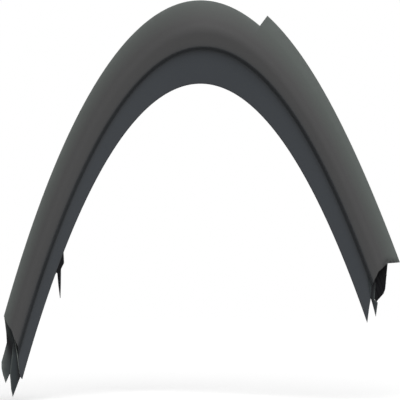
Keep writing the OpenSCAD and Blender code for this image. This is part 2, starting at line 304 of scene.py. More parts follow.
# Pattern of the lighter edges: rubbing and a painted highlight
WEAR_HIGHLIGHT_PATTERN, WEAR_HIGHLIGHT_RANGE, WEAR_HIGHLIGHT_LEAST = 60.0, (0.3, 0.65), 0.5
DUST_PATTERN, DUST_RANGE, DUST_LEAST = 420.0, (0.5, 0.75), 0.25
DUST_UPWARD = (0.0, 0.9)
# Breaks in the painted shade of notches at the right cut
TORN_RANGE, TORN_LEAST = (0.36, 0.52), 0.2
# Range across the face over which the painted highlight grows towards the outer edge
HIGHLIGHT_RANGE = (0.55, 1.05)
BAND_START = 0.3

# Floor and camera
FLOOR_TONE = (0.85, 0.85, 0.85, 1)
FLOOR_ROUGHNESS = 0.9
FLOOR_THICKNESS = 0.02
SENSOR_WIDTH = 36
CLIP_END = 100

# Directions in which the two lamps stand
KEY_TOWARDS = (0.6, -3.3, 2.4)
FILL_TOWARDS = (-3.0, -2.0, 0.8)


# Lines and corners

class ArchLine:
    """A line of the arch over x.

    With q the squared share of the reach that x has covered, z = top - fall q (1 - bow (1 - q)).
    The right leg's bow is worked out so that both legs have the same curvature at the crown.
    """

    def __init__(self, centre, top, fall, left, right, bow):
        self.centre, self.top, self.fall = centre, top, fall
        self.reaches = (left, right)
        self.bows = (bow, 1 - (1 - bow) * (right / left) ** 2)

    def leg(self, x):
        """Reach, bow and squared share at x."""
        left = x < self.centre
        reach = np.where(left, *self.reaches)
        return reach, np.where(left, *self.bows), ((x - self.centre) / reach) ** 2

    def height(self, x):
        """Height at x."""
        _, bow, q = self.leg(x)
        return self.top - self.fall * q * (1 - bow * (1 - q))

    def slope(self, x):
        """Slope at x, the derivative of the height."""
        reach, bow, q = self.leg(x)
        return -2 * self.fall * (x - self.centre) / reach**2 * (1 - bow * (1 - 2 * q))

    def x_at(self, side, z):
        """x on one leg at a height: the root of the quadratic in q."""
        reach, bow = (values[side > 0] for values in (self.reaches, self.bows))
        c = (self.top - z) / self.fall
        q = 2 * c / (1 - bow + math.sqrt((1 - bow) ** 2 + 4 * bow * c))
        return self.centre + side * reach * math.sqrt(q)


def unit(v):
    """Vectors of length one."""
    return v / np.linalg.norm(v, axis=-1, keepdims=True)


def moved(line, t):
    """A section line moved to the back by t, mitred: each point goes along the two normals' sum."""
    d = unit(np.diff(line, axis=1))
    normal = np.stack([d[..., 1], -d[..., 0]], axis=-1)
    before = np.concatenate([normal[:, :1], normal], axis=1)
    after = np.concatenate([normal, normal[:, -1:]], axis=1)
    return line + (before + after) * t / (1 + np.sum(before * after, axis=-1, keepdims=True))


def rounded(a, v, b, cut, steps):
    """A corner v between a and b as the quadratic curve that is tangent to both sides."""
    first, second = np.linalg.norm(v - a, axis=-1), np.linalg.norm(b - v, axis=-1)
    near = np.minimum(cut, CORNER_SHARE * np.minimum(first, second))[:, None]
    p, q = v - near * unit(v - a), v + near * unit(b - v)
    k = np.linspace(0, 1, steps + 1)[None, :, None]
    return p[:, None] * (1 - k) ** 2 + v[:, None] * 2 * k * (1 - k) + q[:, None] * k**2


def filleted(a, v, b, radius, steps):
    """A corner rounded to a radius: each side loses radius times the tangent of half the turn."""
    turn = np.arccos(np.clip(np.sum(unit(v - a) * unit(b - v), axis=-1), -1, 1))
    return rounded(a, v, b, radius * np.tan(turn / 2), steps)


def run(a, b, count):
    """Points strictly between a and b, evenly spaced on the straight line."""
    k = (np.arange(1, count + 1) / (count + 1))[None, :, None]
    return a[:, None] * (1 - k) + b[:, None] * k


class Trim:
    """Sizes of the trim and the functions that place its section in space."""

    def __init__(self, scene):
        arch, face, band = scene.trim_arch, scene.trim_face, scene.trim_band
        self.face, self.band, self.sheet, self.fixings = face, band, scene.trim_sheet, scene.trim_fixings
        self.foot = face.width + band.width / 2 - arch.height
        shift = arch.crease_shift
        self.outer = ArchLine(
            0, self.foot + arch.height, arch.height, arch.left_reach, arch.right_reach, arch.outer_bow
        )
        crease_left = arch.left_reach - face.width_left
        crease_right = arch.right_reach - face.width_right
        self.crease = ArchLine(
            shift, self.outer.top - face.width, arch.height - face.width,
            crease_left + shift, crease_right - shift, arch.crease_bow,
        )
        self.inner = ArchLine(
            0, self.crease.top - band.width, self.crease.fall - band.width,
            crease_left - band.width_left, crease_right - band.width_right, arch.inner_bow,
        )
        self.left_x = self.crease.x_at(-1, self.foot + arch.left_end)
        self.right_x = self.crease.x_at(1, self.foot + arch.right_end)

    def across(self, line, x, side, guess=0.05, steps=8):
        """Distance from the crease to another line, square to the crease, by Newton's steps."""
        slope = self.crease.slope(x)
        scale = side / np.sqrt(1 + slope**2)
        nx, nz = -slope * scale, scale
        d = np.full_like(x, guess)
        for _ in range(steps):
            miss = line.height(x + d * nx) - self.crease.height(x) - d * nz
            d = d - miss / (line.slope(x + d * nx) * nx - nz)
        return d

    def measures(self, x):
        """Width of the face, extra width of the skirt and width of the band at x."""
        past = np.clip((x - self.face.step_x) / STEP_RUN / 2 + 0.5, 0, 1)
        along = (x - self.face.step_x) / (self.right_x - self.face.step_x)
        skirt = past * (self.face.skirt + (self.face.skirt_end - self.face.skirt) * along)
        return self.across(self.outer, x, 1), skirt, self.across(self.inner, x, -1)

    def face_y(self, w, n):
        """Depth of the outer zone: a straight tilt and a parabola's swell on it."""
        k = (w - n) / (w * (1 - self.face.crest))
        swell = 4 * k * (1 - k) * self.face.swell
        return -self.sheet.edge_depth - math.tan(self.face.tilt) * (w - n) - swell

    def crease_y(self, w):
        """Depth of the crease."""
        return self.face_y(w, self.face.crest * w) + math.tan(self.face.lower_tilt) * self.face.crest * w

    def root_y(self, w):
        """Depth of the wall's root, where the band starts."""
        return self.crease_y(w) + self.band.wall

    def band_y(self, w, n):
        """Depth of the band at a distance outwards from the crease, which is negative there."""
        return self.root_y(w) + math.tan(self.band.tilt) * (-n - self.band.wall_lean)

    def corners(self, w, skirt, b):
        """Front of the section as corners, from the back of the lip to the inner edge."""
        crest, outer, lean = self.face.crest * w, w + skirt, np.full_like(w, -self.band.wall_lean)
        zone = [outer] + [w - k * (w - crest) for k in SWELL_PLACES] + [crest]
        points = [(outer, np.full_like(w, -self.sheet.lip_gap))]
        points += [(n, self.face_y(w, n)) for n in zone]
        points += [(np.zeros_like(w), self.crease_y(w)), (lean, self.root_y(w))]
        points += [(-b, self.band_y(w, -b))]
        return np.stack([np.stack(p, axis=-1) for p in points], axis=1)

    def face_line(self, c, t):
        """The face at a depth t inside the sheet, from the lip to the wall.

        The last four corners are the crest, the crease, the wall's root and the inner edge."""
        sheet = self.sheet
        edge = filleted(c[:, 0], c[:, 1], c[:, 2], sheet.edge_radius - t, EDGE_STEPS)
        crest = rounded(c[:, -5], c[:, -4], c[:, -3], sheet.crest_blend, CREST_STEPS)
        crease = filleted(c[:, -4], c[:, -3], c[:, -2], sheet.crease_radius - t, CREASE_STEPS)
        lip_run = run(c[:, 0], edge[:, 0], LIP_RUNS)
        face_run = run(crest[:, -1], crease[:, 0], FACE_RUNS)
        return np.concatenate([c[:, :1], lip_run, edge, c[:, 2:-4], crest, face_run, crease], axis=1)

    def root_line(self, c, t):
        """The root of the wall at a depth t inside the sheet."""
        return filleted(c[:, -3], c[:, -2], c[:, -1], self.sheet.root_radius + t, ROOT_STEPS)

    def skin(self, m, t):
        """A whole section line at a depth t inside the sheet."""
        c = moved(self.corners(*m), t)
        face, root = self.face_line(c, t), self.root_line(c, t)
        wall_run, band_run = run(face[:, -1], root[:, 0], WALL_RUNS), run(root[:, -1], c[:, -1], BAND_RUNS)
        return np.concatenate([face, wall_run, root, band_run, c[:, -1:]], axis=1)

    def ring(self, m):
        """Closed section: front line, inner rim, back line and lip, with the rims' corners rounded."""
        front, back = self.skin(m, 0), self.skin(m, self.sheet.thickness)
        lip, inner, inner_back, lip_back = (
            rounded(before, corner, after, self.sheet.rim_radius, RIM_STEPS)
            for before, corner, after in (
                (back[:, 0], front[:, 0], front[:, 1]), (front[:, -2], front[:, -1], back[:, -1]),
                (front[:, -1], back[:, -1], back[:, -2]), (back[:, 1], back[:, 0], front[:, 0]),
            )
        )
        return np.concatenate(
            [lip, front[:, 1:-1], inner, inner_back, back[:, -2:0:-1], lip_back], axis=1
        )

    def mid_lines(self, x):
        """Corners, face line and root line half way through the sheet at one station."""
        half = self.sheet.thickness / 2
        c = moved(self.corners(*self.measures(np.array([x]))), half)
        return self.face_line(c, half)[0], self.root_line(c, half)[0]

    def in_space(self, x, n, y):
        """Section points set square to the crease at stations x."""
        slope = self.crease.slope(x)
        scale = 1 / np.sqrt(1 + slope**2)
        return np.stack([x - slope * scale * n, y, self.crease.height(x) + scale * n], axis=-1)

    def to_cut(self, x, n):
        """Stations moved towards the end cuts, with a weight that falls to 0 over the cut zone."""
        x, n = np.broadcast_arrays(x[:, None], n)
        near = 1 / np.sqrt(1 + self.crease.slope(x) ** 2)
        left = np.maximum(1 - (x - self.left_x) / near / self.sheet.cut_zone, 0)
        right = np.maximum(1 - (self.right_x - x) / near / self.sheet.cut_zone, 0)
        pull = right * np.interp(n, *RIGHT_CUT.T) - left * np.interp(n, *LEFT_CUT.T)
        return x + pull * near

    def stations(self):
        """Stations evenly spread by length along the crease, with a close pair at the step."""
        fine = np.linspace(self.left_x, self.right_x, FINE_STATIONS)
        steps = np.hypot(np.diff(fine), np.diff(self.crease.height(fine)))
        travelled = np.concatenate([[0], np.cumsum(steps)])
        even = np.interp(np.linspace(0, travelled[-1], self.sheet.stations), travelled, fine)
        step = self.face.step_x
        even = even[np.abs(even - step) > STEP_ROOM * STEP_RUN]
        return np.sort(np.concatenate([even, [step - STEP_RUN, step + STEP_RUN]]))

    def place_x(self, k):
        """Station at a share of a leg."""
        end = self.left_x if k < 0 else self.right_x
        return self.crease.centre + abs(k) * (end - self.crease.centre)

    def at_station(self, x, along, out, depth, side=1):
        """Points given along the crease, outwards from it and in depth at one station.

        On side -1 the first runs down the left leg, against X."""
        slope = float(self.crease.slope(x))
        tangent = np.array([1, 0, slope]) / math.hypot(1, slope)
        outwards = np.array([-tangent[2], 0, tangent[0]])
        origin = np.array([x, 0, float(self.crease.height(x))])
        along, out, depth = np.broadcast_arrays(along, out, depth)
        parts = ((along, side * tangent), (out, outwards), (depth, DEPTH_AXIS))
        return origin + sum(values[..., None] * axis for values, axis in parts)


# Meshes

def grid_faces(rows, columns, start=0, wrap=False):
    """Quads of a grid of points kept row by row, as an array of point numbers."""
    index = start + np.arange(rows * columns).reshape(rows, columns)
    if wrap:
        index = np.concatenate([index, index[:, :1]], axis=1)
    quads = np.stack([index[:-1, :-1], index[:-1, 1:], index[1:, 1:], index[1:, :-1]], axis=-1)
    return quads.reshape(-1, 4)


def shell(front, back, wrap=False):
    """Closed skin over two grids of points of one size and the walls between their borders."""
    rows, columns = front.shape[:2]
    count = rows * columns
    index = np.arange(count).reshape(rows, columns)
    if wrap:
        index = np.concatenate([index, index[:, :1]], axis=1)
        borders = [index[0], index[-1, ::-1]]
    else:
        borders = [index[0], index[:, -1], index[-1, ::-1], index[::-1, 0]]
    walls = [np.stack([b[1:], b[:-1], b[:-1] + count, b[1:] + count], axis=-1) for b in borders]
    skins = [grid_faces(rows, columns, 0, wrap), grid_faces(rows, columns, count, wrap)[:, ::-1]]
    points = np.concatenate([front.reshape(-1, 3), back.reshape(-1, 3)])
    return points, np.concatenate(skins + walls).tolist()


def prism(front, back):
    """Closed prism between two like outlines: both caps, and a quad for each side."""
    count = len(front)
    index = np.arange(count)
    onward = np.roll(index, -1)
    sides = np.stack([index, onward, onward + count, index + count], axis=-1)
    return np.concatenate([front, back]), [index[::-1].tolist(), (index + count).tolist(), *sides.tolist()]


def lathe(profile, centre, steps=48):
    """A profile of (radius, depth) turned round a line through the centre along Y."""
    turn = np.arange(steps) * 2 * np.pi / steps
    radius, depth = profile[:, 0, None], profile[:, 1, None]
    across = np.stack([radius * np.cos(turn), depth + 0 * turn, radius * np.sin(turn)], axis=-1)
    return (centre + across).reshape(-1, 3), grid_faces(len(profile), steps, wrap=True).tolist()


def joined(parts):
    """Several parts as one list of points and one list of faces."""
    points, faces, start = [], [], 0
    for own_points, own_faces in parts:
        points.append(own_points)
        faces += [[start + i for i in face] for face in own_faces]
        start += len(own_points)
    return np.concatenate(points), faces


def new_piece(name, points, faces, materials, bevel=0.0, sharp=35, marks=None, finishes=None):
    """A closed piece from points and faces, turned outwards, smooth up to an angle, on the body.

    Marks are named values on the points, and finishes is the number of each face's material."""
    mesh = bpy.data.meshes.new(name)
    mesh.from_pydata(points.reshape(-1, 3).tolist(), [], faces)
    for label, values in (marks or {}).items():
        mesh.attributes.new(label, "FLOAT", "POINT").data.foreach_set("value", np.ravel(values))
    if finishes is not None:
        mesh.polygons.foreach_set("material_index", finishes)
    work = bmesh.new()
    work.from_mesh(mesh)
    bmesh.ops.remove_doubles(work, verts=work.verts, dist=MERGE_DISTANCE)
    bmesh.ops.recalc_face_normals(work, faces=work.faces)
    work.to_mesh(mesh)
    work.free()
    for material in materials:
        mesh.materials.append(material)
    mesh.shade_smooth()
    mesh.set_sharp_from_angle(angle=math.radians(sharp))
    piece = bpy.data.objects.new(name, mesh)
    bpy.context.scene.collection.objects.link(piece)
    if bevel:
        edges = piece.modifiers.new("free_edges", "BEVEL")
        edges.width, edges.segments = bevel, BEVEL_SEGMENTS
        edges.limit_method, edges.angle_limit = "ANGLE", math.radians(sharp)
        edges.harden_normals = True
    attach(piece, BODY)
    return piece


# Pieces

def build_sheet(trim, finish, materials):
    """The swept sheet: a closed section at each station, and the end sections lean to the cuts.

    Faces of the ring's second half are the back, and the end caps join point j to its mirror."""
    x = trim.stations()
    own = trim.ring(trim.measures(x))
    rows, columns = own.shape[:2]
    place = trim.to_cut(x, own[..., 0])
    diagonal = np.arange(columns)
    for i in np.flatnonzero(np.abs(place - x[:, None]).max(axis=1) > 0):
        own[i] = trim.ring(trim.measures(place[i]))[diagonal, diagonal]
    half = columns // 2
    j = np.arange(half - 1)
    cap = np.stack([j, j + 1, columns - 2 - j, columns - 1 - j], axis=-1)
    skin = grid_faces(rows, columns, wrap=True)
    is_back = np.tile(np.arange(columns) >= half, rows - 1)
    faces = np.concatenate([skin, cap[:, ::-1], cap + (rows - 1) * columns])
    return new_piece(
        "trim_sheet", trim.in_space(place, own[..., 0], own[..., 1]), faces.tolist(), materials,
        marks=sheet_marks(trim, finish, place, own[..., 0]),
        finishes=np.concatenate([is_back, np.ones(2 * len(cap))]).astype(np.int32),
    )


def sheet_marks(trim, finish, x, n):
    """Marks on the sheet's points, by their distance n outwards from the crease.

    Across runs from -1 at the inner edge, over the wall, to 0 at the crease and 1 at the outer edge.
    Edge and recess are the exponential of minus a distance over its reach: from the outer edge, and
    from the wall or the inner edge."""
    w, skirt, b = trim.measures(x)
    lean = trim.band.wall_lean
    on_band = -WALL_SHARE + (1 - WALL_SHARE) * (n + lean) / (b - lean)
    across = np.select([n >= 0, n > -lean], [n / w, WALL_SHARE * n / lean], on_band)
    from_wall = np.maximum(np.abs(n + lean / 2) - lean / 2, 0)
    # Painted shade: darker next to the wall of the crease and at the inner rim.
    dark = np.exp(-from_wall / finish.crease_reach) + np.exp(-(n + b) / finish.rim_reach)
    return {
        "across": across,
        # Edge drives the lighter outer rim: rubbing and a painted highlight.
        "edge": np.exp((n - w - skirt) / finish.edge_reach),
        "painted_shade": np.minimum(dark, 1),
        "notch_shaded": near_right_cut(trim, finish, x, n),
    }


def near_right_cut(trim, finish, x, n):
    """Nearness to the level part of the right cut: a bell up the leg, growing over the slanted part."""
    # This mask places painted shade: dark notches along the right cut.
    slant = np.sqrt(1 + trim.crease.slope(x) ** 2)
    from_cut = np.maximum((trim.right_x - x) * slant + np.interp(n, *RIGHT_CUT.T), 0)
    level = np.interp(n, RIGHT_CUT[-3:-1, 0], (0, 1))
    return level * np.exp(-(from_cut / finish.nick_reach) ** 2)


def rib_outline(trim, x):
    """A cross rib's outline: the mid-sheet line from the lip to the wall's root, and a free edge."""
    fixings, half = trim.fixings, trim.sheet.thickness / 2
    face, root = trim.mid_lines(x)
    w, skirt, _ = trim.measures(np.array([x]))
    outer_corner = [(w[0] + skirt[0] - half, -fixings.rib_gap)]
    inner_corner = [(fixings.rib_set_in, -fixings.rib_gap)]
    return np.concatenate([outer_corner, face[1:], root, inner_corner])


def build_ribs(trim, materials):
    """Cross ribs behind the face, each a prism over its outline."""
    half = trim.fixings.rib / 2
    parts = []
    for k in RIB_PLACES:
        x = trim.place_x(k)
        n, y = rib_outline(trim, x).T
        parts.append(prism(*(trim.at_station(x, s, n, y) for s in (-half, half))))
    return new_piece("cross_ribs", *joined(parts), materials, trim.fixings.bevel)


def tower_parts(trim, x):
    """Two walls off the back of the face and the seat with its round hole."""
    fixings = trim.fixings
    w = trim.measures(np.array([x]))[0][0]
    face, _ = trim.mid_lines(x)
    low, high = (w - fixings.tower_length) / 2, (w + fixings.tower_length) / 2
    seat_y = -fixings.seat_gap - fixings.seat
    n = np.linspace(low, high, TOWER_STEPS)
    y = np.interp(n, face[::-1, 0], face[::-1, 1])
    n, y = np.append(n, [high, low]), np.append(y, [seat_y + fixings.seat / 2] * 2)
    inner, outer = fixings.tower_width / 2 - fixings.rib, fixings.tower_width / 2
    walls = [
        prism(*(trim.at_station(x, side * s, n, y) for s in (inner, outer))) for side in (-1, 1)
    ]
    return walls + [seat_part(trim, x, w / 2, seat_y)]


def seat_part(trim, x, middle, seat_y, side_steps=16):
    """A rectangular seat with a round hole: rays from the hole's centre through the border."""
    fixings = trim.fixings
    half = np.array([fixings.tower_width, fixings.tower_length]) / 2
    k = np.arange(side_steps) / side_steps * 2 - 1
    one = np.ones_like(k)
    border = np.concatenate([
        np.stack(pair, axis=-1) for pair in ((k, -one), (one, k), (-k, one), (-one, -k))
    ]) * half
    hole = unit(border) * fixings.seat_hole / 2
    rings = np.stack([hole, border])
    front, back = (
        trim.at_station(x, rings[..., 0], middle + rings[..., 1], y)
        for y in (seat_y, seat_y + fixings.seat)
    )
    return shell(front, back, wrap=True)


def build_towers(trim, materials):
    """Clip towers behind the face."""
    parts = [part for k in TOWER_PLACES for part in tower_parts(trim, trim.place_x(k))]
    return new_piece("clip_towers", *joined(parts), materials, trim.fixings.bevel)


def boss_profile(trim, hole_depth, height):
    """A screw boss from the floor of its blind hole over its mouth to its foot in the sheet."""
    hole, out, c = trim.fixings.screw / 2, trim.fixings.boss / 2, trim.fixings.bevel
    return np.array([
        (0, -hole_depth - hole / 2), (hole, -hole_depth), (hole, -c), (hole + c, 0),
        (out - c, 0), (out, -c), (out, -height), (0, -height),
    ])


def build_bosses(trim, materials):
    """Screw bosses behind the band, and the one at the crown on the origin."""
    half = trim.sheet.thickness / 2
    crown_height = -trim.band_y(trim.face.width, -trim.band.width / 2) - half
    places = [(np.zeros(3), trim.fixings.crown_depth, crown_height)]
    for k in BOSS_PLACES:
        x = trim.place_x(k)
        w, _, b = (v[0] for v in trim.measures(np.array([x])))
        middle = -(trim.band.wall_lean + b) / 2
        centre = trim.at_station(x, 0.0, middle, 0.0)
        places.append((centre, trim.fixings.screw_depth, -trim.band_y(w, middle) - half))
    parts = [lathe(boss_profile(trim, depth, height), centre) for centre, depth, height in places]
    return new_piece("screw_bosses", *joined(parts), materials)


def plate_part(trim, finish, side, edges, depth, thickness, reach, shade, roll=0.0008, rows=90, columns=22):
    """A plate down a leg between an inner and an outer edge, with its front rolled off at both.

    Across the plate k runs from 0 to 1 on a cosine. Within a roll's length r of an edge the front
    goes back by r - sqrt(r^2 - (r - distance)^2). Recess is a bell along the plate round the line that
    lies shade past the sheet's cut, and 0 behind the sheet. Edge is what the bell leaves of the
    exponential of minus the distance from the outer edge over its reach."""
    inner, outer = edges
    x = trim.left_x if side < 0 else trim.right_x
    s = np.unique(np.concatenate([np.linspace(inner[0, 0], inner[-1, 0], rows), inner[:, 0], outer[:, 0]]))
    low, high = np.interp(s, *inner.T)[:, None], np.interp(s, *outer.T)[:, None]
    k = (0.5 - 0.5 * np.cos(np.linspace(0, np.pi, columns)))[None]
    n = low + (high - low) * k
    from_edge = np.minimum(np.minimum(k, 1 - k) * (high - low), roll)
    back = roll - np.sqrt(roll**2 - (roll - from_edge) ** 2)
    along = np.broadcast_to(s[:, None], n.shape)
    front = trim.at_station(x, along, n, depth - thickness + back, side)
    points, faces = shell(front, trim.at_station(x, along, n, depth, side))
    cut = LEFT_CUT if side < 0 else RIGHT_CUT
    past_cut = along - np.interp(n, *cut.T)
    # Painted shade on the tongues: a dark bell past the sheet's cut, where they lie in shade.
    bell = np.exp(-((past_cut - shade) / finish.shade_reach) ** 2)
    painted_shade = np.where(past_cut > 0, bell, 0)
    edge = (1 - painted_shade) * np.exp(-(1 - k) * (high - low) / reach)
    return points, faces, np.tile(edge.ravel(), 2), np.tile(painted_shade.ravel(), 2)


def panel_ribs(trim, finish, depth, height, tones):
    """Low ribs down the right panel, each a narrow plate up to the panel's slanted edge."""
    half = trim.fixings.panel_rib_width / 2
    outer = PANEL[1]
    ribs = []
    for n in PANEL_RIBS:
        end = np.interp(n, outer[::-1, 1], outer[::-1, 0])
        edges = [np.array([(outer[0, 0], n + d), (end, n + d)]) for d in (-half, half)]
        ribs.append(plate_part(trim, finish, 1, edges, depth, height, *tones))
    return ribs


def build_tongues(trim, finish, grey, black, worn_and_highlighted):
    """Tongues that run on past the cut ends, and the raised rim on the left spike.

    Left and right are the depths at which they sink into the back of the wall's root. Plain and leafy
    are the reach of the light tone and the place of the dark one."""
    fixings, sheet = trim.fixings, trim.sheet
    tongue, seat = fixings.tongue, fixings.tongue_seat
    left, right = (
        trim.root_y(trim.measures(np.array([x]))[0][0]) + sheet.thickness - seat
        for x in (trim.left_x, trim.right_x)
    )
    plain, leafy = (finish.tongue_reach, 0.0), (finish.leaf_reach, finish.leaf_shade)
    ribs = panel_ribs(trim, finish, right + seat, seat + fixings.panel_rib, plain)
    # The leaf's light strip is a painted highlight with rubbing and its dark waist is painted shade; the
    # rim is painted light as a bright edge highlight; the panel is painted near-black as shade.
    for name, side, edges, depth, thickness, material, tones, more in (
        ("left_leaf", -1, LEAF, -sheet.lip_gap - fixings.leaf_back, tongue, grey, leafy, []),
        ("left_spike", -1, LEFT_SPIKE, left + tongue + fixings.spike_back, tongue, grey, plain, []),
        ("left_rim", -1, LEFT_RIM, left + seat, 2 * seat, worn_and_highlighted, plain, []),
        ("right_panel", 1, PANEL, right + tongue, tongue, black, plain, ribs),
        ("right_spike", 1, RIGHT_SPIKE, right, tongue, grey, plain, []),
    ):
        parts = [plate_part(trim, finish, side, edges, depth, thickness, *tones), *more]
        points, faces = joined([part[:2] for part in parts])
        edge, painted_shade = (np.concatenate([part[i] for part in parts]) for i in (2, 3))
        marks = {"edge": edge, "painted_shade": painted_shade}
        new_piece(name, points, faces, [material], marks=marks)


def build_blade(trim, materials):
    """The locating blade: a prism that hangs beside the left leg and reaches back."""
    fixings = trim.fixings
    z = trim.foot + fixings.blade_height
    w, _, b = (v[0] for v in trim.measures(np.array([trim.crease.x_at(-1, z)])))
    front = trim.band_y(w, -b)
    x, height = BLADE_FRONT.T
    outline = [
        np.stack([trim.inner.x_at(-1, z) + x, np.full_like(x, y), z + height], axis=-1)
        for y in (front, front + fixings.blade)
    ]
    return new_piece("locating_blade", *prism(*outline), materials, 2 * fixings.bevel)


# Shader groups

def new_group(name, inputs, outputs):
    """An empty shader group with its sockets, its input node and its output node."""
    tree = bpy.data.node_groups.new(name, "ShaderNodeTree")
    for label, kind, value in inputs:
        tree.interface.new_socket(label, in_out="INPUT", socket_type=kind).default_value = value
    for label, kind in outputs:
        tree.interface.new_socket(label, in_out="OUTPUT", socket_type=kind)
    return tree, tree.nodes.new("NodeGroupInput"), tree.nodes.new("NodeGroupOutput")


def noise(tree, scale, detail=3.0, roughness=0.5):
    """A noise texture over the object's own coordinates."""
    place = tree.nodes.new("ShaderNodeTexCoord")
    node = tree.nodes.new("ShaderNodeTexNoise")
    node.inputs["Scale"].default_value = scale
    node.inputs["Detail"].default_value = detail
    node.inputs["Roughness"].default_value = roughness
    tree.links.new(place.outputs["Object"], node.inputs["Vector"])
    return node


def maths(tree, operation, first, second):
    """A Math node on two sockets or numbers."""
    node = tree.nodes.new("ShaderNodeMath")
    node.operation = operation
    for socket, value in zip(node.inputs, (first, second)):
        if isinstance(value, bpy.types.NodeSocket):
            tree.links.new(value, socket)
        else:
            socket.default_value = value
    return node.outputs[0]


def spread(tree, value, low, high, to_low, to_high):
    """A value remapped from one range to another and clamped."""
    node = tree.nodes.new("ShaderNodeMapRange")
    for label, number in zip(("From Min", "From Max", "To Min", "To Max"), (low, high, to_low, to_high)):
        if isinstance(number, bpy.types.NodeSocket):
            tree.links.new(number, node.inputs[label])
        else:
            node.inputs[label].default_value = number
    tree.links.new(value, node.inputs["Value"])
    return node.outputs[0]


def mould_grain():
    """Pitted grain: cell distance for the pits and fine noise between them, as a height from 0 to 1."""
    tree, given, out = new_group(
        "mould_grain", [("Cells per metre", "NodeSocketFloat", 800.0)], [("Height", "NodeSocketFloat")]
    )
    place = tree.nodes.new("ShaderNodeTexCoord")
    cells = tree.nodes.new("ShaderNodeTexVoronoi")
    cells.feature = "SMOOTH_F1"
    tree.links.new(place.outputs["Object"], cells.inputs["Vector"])
    tree.links.new(given.outputs[0], cells.inputs["Scale"])
    fine = noise(tree, 1.0, detail=2.0)
    tree.links.new(maths(tree, "MULTIPLY", given.outputs[0], FINE_SCALE), fine.inputs["Scale"])
    pits = spread(tree, cells.outputs["Distance"], *PIT_RANGE, 1.0, 0.0)
    rough = maths(tree, "MULTIPLY", fine.outputs[0], 1 - PIT_SHARE)
    tree.links.new(maths(tree, "ADD", maths(tree, "MULTIPLY", pits, PIT_SHARE), rough), out.inputs[0])
    return tree


def tone_drift():
    """Slow drift of tone and gloss: two sizes of noise, given as a factor for colour and a roughness."""
    tree, given, out = new_group(
        "tone_drift",
        [
            ("Colour", "NodeSocketColor", (1, 1, 1, 1)), ("Roughness", "NodeSocketFloat", 0.5),
            ("Drift", "NodeSocketFloat", 0.08),
        ],
        [("Colour", "NodeSocketColor"), ("Roughness", "NodeSocketFloat")],
    )
    broad = maths(tree, "MULTIPLY", noise(tree, BROAD_DRIFT).outputs[0], BROAD_SHARE)
    fine = noise(tree, CLOSE_DRIFT, detail=4.0, roughness=0.6)
    close = maths(tree, "MULTIPLY", fine.outputs[0], 1 - BROAD_SHARE)
    signed = maths(tree, "SUBTRACT", maths(tree, "ADD", broad, close), 0.5)
    swing = maths(tree, "MULTIPLY", given.outputs["Drift"], 2.0)
    factor = maths(tree, "ADD", maths(tree, "MULTIPLY", signed, swing), 1.0)
    scaled = tree.nodes.new("ShaderNodeVectorMath")
    scaled.operation = "SCALE"
    tree.links.new(given.outputs["Colour"], scaled.inputs[0])
    tree.links.new(factor, scaled.inputs["Scale"])
    tree.links.new(scaled.outputs[0], out.inputs["Colour"])
    tree.links.new(maths(tree, "MULTIPLY", given.outputs["Roughness"], factor), out.inputs["Roughness"])
    return tree


def mark(tree, name):
    """The value of a mark on the piece's points."""
    node = tree.nodes.new("ShaderNodeAttribute")
    node.attribute_name = name
    return node.outputs["Fac"]


def edge_wear_and_highlight():
    """Rubbed edges: the piece's nearness to an edge times broken noise, as a mask."""
    tree, given, out = new_group(
        "edge_wear_and_highlight", [("Amount", "NodeSocketFloat", 0.5)], [("Mask", "NodeSocketFloat")]
    )
    pattern = noise(tree, WEAR_HIGHLIGHT_PATTERN, detail=4.0, roughness=0.6)
    broken = spread(tree, pattern.outputs[0], *WEAR_HIGHLIGHT_RANGE, WEAR_HIGHLIGHT_LEAST, 1.0)
    mask = maths(tree, "MULTIPLY", maths(tree, "MULTIPLY", mark(tree, "edge"), broken), given.outputs[0])
    tree.links.new(mask, out.inputs[0])
    return tree


def settled_dust():
    """Fine dust: specks of noise that lie on what faces up, as a mask."""
    tree, given, out = new_group(
        "settled_dust", [("Amount", "NodeSocketFloat", 0.1)], [("Mask", "NodeSocketFloat")]
    )
    facing = tree.nodes.new("ShaderNodeNewGeometry")
    parts = tree.nodes.new("ShaderNodeSeparateXYZ")
    tree.links.new(facing.outputs["Normal"], parts.inputs[0])
    upward = spread(tree, parts.outputs["Z"], *DUST_UPWARD, DUST_LEAST, 1.0)
    specks = spread(tree, noise(tree, DUST_PATTERN, roughness=0.7).outputs[0], *DUST_RANGE, 0.0, 1.0)
    mask = maths(tree, "MULTIPLY", maths(tree, "MULTIPLY", upward, specks), given.outputs[0])
    tree.links.new(mask, out.inputs[0])
    return tree


# Materials

def place_group(tree, make, **values):
    """A group node in a material, with its own values. Its group is built at its first use."""
    node = tree.nodes.new("ShaderNodeGroup")
    node.node_tree = bpy.data.node_groups.get(make.__name__) or make()
    for label, value in values.items():
        node.inputs[label.replace("_", " ")].default_value = value
    return node


def blended(tree, mask, below, above):
    """A colour mixed over another by a mask."""
    mix = tree.nodes.new("ShaderNodeMix")
    mix.data_type = "RGBA"
    tree.links.new(mask, mix.inputs["Factor"])
    for socket, value in zip((s for s in mix.inputs if s.type == "RGBA"), (below, above)):
        if isinstance(value, bpy.types.NodeSocket):
            tree.links.new(value, socket)
        else:
            socket.default_value = (*value, 1)
    return next(s for s in mix.outputs if s.type == "RGBA")


